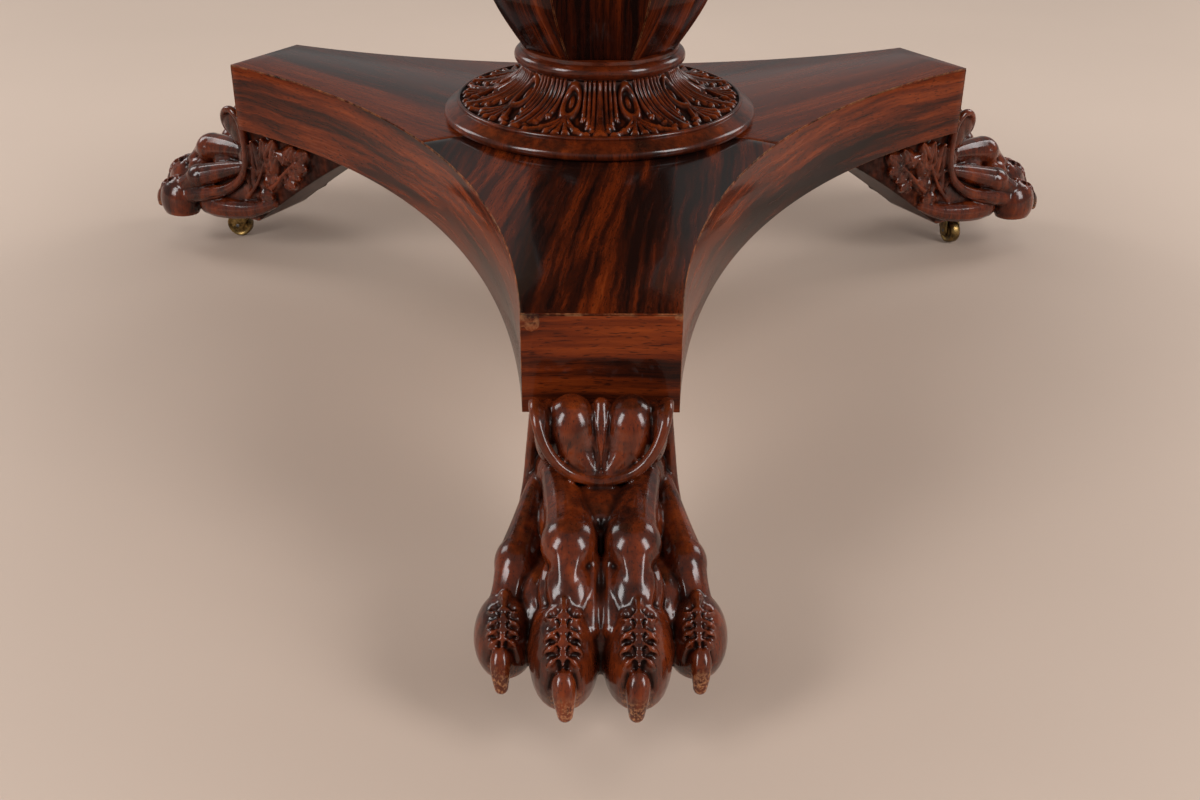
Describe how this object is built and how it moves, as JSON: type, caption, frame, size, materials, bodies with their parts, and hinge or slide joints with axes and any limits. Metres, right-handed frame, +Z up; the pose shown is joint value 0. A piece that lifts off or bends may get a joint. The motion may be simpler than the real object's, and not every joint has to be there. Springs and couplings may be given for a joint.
{
  "type": "centre table",
  "caption": "Round tilt-top centre table on a facetted stem and a concave three-armed platform, with carved lion-paw feet on castors.",
  "frame": {"origin": "on the floor under the stem's axis, at the middle of the round top", "axes": "+Z up along the stem; one foot points along -Y, the other two at 30 and 150 degrees"},
  "size_m": [1.3, 1.3, 0.735],
  "materials": {
    "rosewood_veneer": "figured rosewood veneer, French polished",
    "rosewood_turned": "turned rosewood, French polished",
    "carved_rosewood": "carved rosewood, polished, darker in the hollows",
    "carcase_wood": "bare carcase wood",
    "brass": "tarnished cast brass",
    "iron": "dark iron"
  },
  "bodies": {
    "base": {"block": "carcase_wood", "bolt_keeper": "brass", "castor_plate_front": "brass", "castor_plate_left": "brass", "castor_plate_right": "brass", "collar": "carved_rosewood", "foot_dowel_front": "carcase_wood", "foot_dowel_left": "carcase_wood", "foot_dowel_right": "carcase_wood", "foot_screw_front": "iron", "foot_screw_left": "iron", "foot_screw_right": "iron", "neck_ring": "rosewood_turned", "paw_front": "carved_rosewood", "paw_left": "carved_rosewood", "paw_right": "carved_rosewood", "pivot_pin_left": "iron", "pivot_pin_right": "iron", "platform_core": "carcase_wood", "platform_side_veneer_front": "rosewood_veneer", "platform_side_veneer_left": "rosewood_veneer", "platform_side_veneer_right": "rosewood_veneer", "platform_tip_veneer_front": "rosewood_veneer", "platform_tip_veneer_left": "rosewood_veneer", "platform_tip_veneer_right": "rosewood_veneer", "platform_top_veneer_front": "rosewood_veneer", "platform_top_veneer_left": "rosewood_veneer", "platform_top_veneer_right": "rosewood_veneer", "stem_core": "carcase_wood", "stem_ring": "rosewood_turned", "stem_veneer_1": "rosewood_veneer", "stem_veneer_2": "rosewood_veneer", "stem_veneer_3": "rosewood_veneer", "stem_veneer_4": "rosewood_veneer", "stem_veneer_5": "rosewood_veneer", "stem_veneer_6": "rosewood_veneer", "stem_veneer_7": "rosewood_veneer", "stem_veneer_8": "rosewood_veneer", "tie_plate": "iron", "tie_screw": "iron"},
    "top": {"top_board": "carcase_wood", "top_veneer": "rosewood_veneer", "top_moulding": "rosewood_turned", "bearer_right": "carcase_wood", "bearer_left": "carcase_wood", "bolt_case": "brass"},
    "bolt": {"bolt_bar": "brass"},
    "castor_front": {"castor_fork_front": "brass", "castor_axle_front": "iron"},
    "wheel_front": {"castor_wheel_front": "brass"},
    "castor_right": {"castor_fork_right": "brass", "castor_axle_right": "iron"},
    "wheel_right": {"castor_wheel_right": "brass"},
    "castor_left": {"castor_fork_left": "brass", "castor_axle_left": "iron"},
    "wheel_left": {"castor_wheel_left": "brass"}
  },
  "joints": [
    {"name": "top_tilt", "type": "hinge", "parent": "base", "child": "top", "pos_m": [0, 0.165, 0.6807], "axis": [-1, 0, 0], "range_deg": [0, 80]},
    {"name": "bolt_slide", "type": "slide", "parent": "top", "child": "bolt", "axis": [0, 1, 0], "range_m": [0, 0.012]},
    {"name": "castor_front_swivel", "type": "hinge", "parent": "base", "child": "castor_front", "pos_m": [0, -0.529, 0.046], "axis": [0, 0, 1], "continuous": true},
    {"name": "wheel_front_roll", "type": "hinge", "parent": "castor_front", "child": "wheel_front", "pos_m": [-0.01128, -0.5331, 0.0163], "axis": [0.342, -0.9397, 0], "continuous": true},
    {"name": "castor_right_swivel", "type": "hinge", "parent": "base", "child": "castor_right", "pos_m": [0.45813, 0.2645, 0.046], "axis": [0, 0, 1], "continuous": true},
    {"name": "wheel_right_roll", "type": "hinge", "parent": "castor_right", "child": "wheel_right", "pos_m": [0.46123, 0.25291, 0.0163], "axis": [0.9659, 0.2588, 0], "continuous": true},
    {"name": "castor_left_swivel", "type": "hinge", "parent": "base", "child": "castor_left", "pos_m": [-0.45813, 0.2645, 0.046], "axis": [0, 0, 1], "continuous": true},
    {"name": "wheel_left_roll", "type": "hinge", "parent": "castor_left", "child": "wheel_left", "pos_m": [-0.47001, 0.26617, 0.0163], "axis": [-0.1392, -0.9903, 0], "continuous": true}
  ]
}
